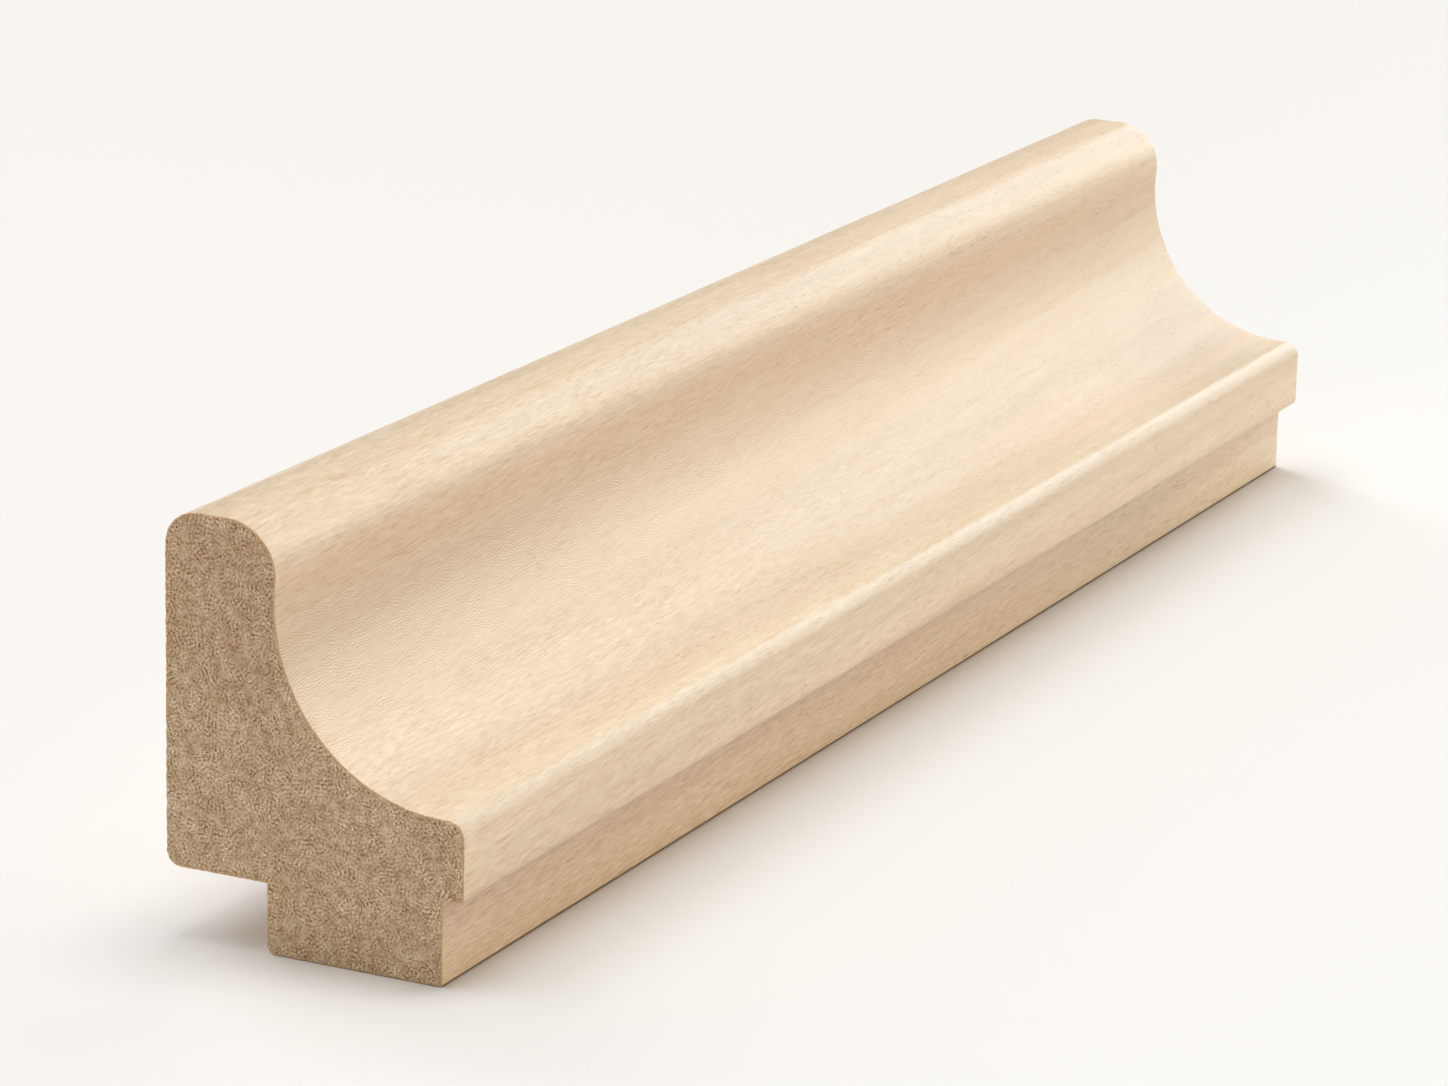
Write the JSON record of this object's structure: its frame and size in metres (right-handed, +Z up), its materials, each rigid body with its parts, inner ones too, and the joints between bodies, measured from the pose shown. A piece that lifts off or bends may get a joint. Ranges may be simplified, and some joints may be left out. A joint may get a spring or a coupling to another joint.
{
  "type": "wooden moulding",
  "caption": "Straight wooden moulding with a rounded crown over a deep cove, a square lip, and a tongue below behind a rebate.",
  "frame": {"origin": "under the middle of the bounding box, level with the foot of the tongue that the moulding stands on", "axes": "+X along the run of the moulding, -Y out of its moulded face, +Y out of its flat back, +Z up towards the rounded crown"},
  "size_m": [0.234, 0.0342, 0.045],
  "materials": {
    "pale_hardwood": "unvarnished pale straight-grained hardwood, planed and sanded smooth on the long faces, sawn and darker on the end grain"
  },
  "bodies": {
    "root": {"moulding": "pale_hardwood"}
  },
  "joints": []
}
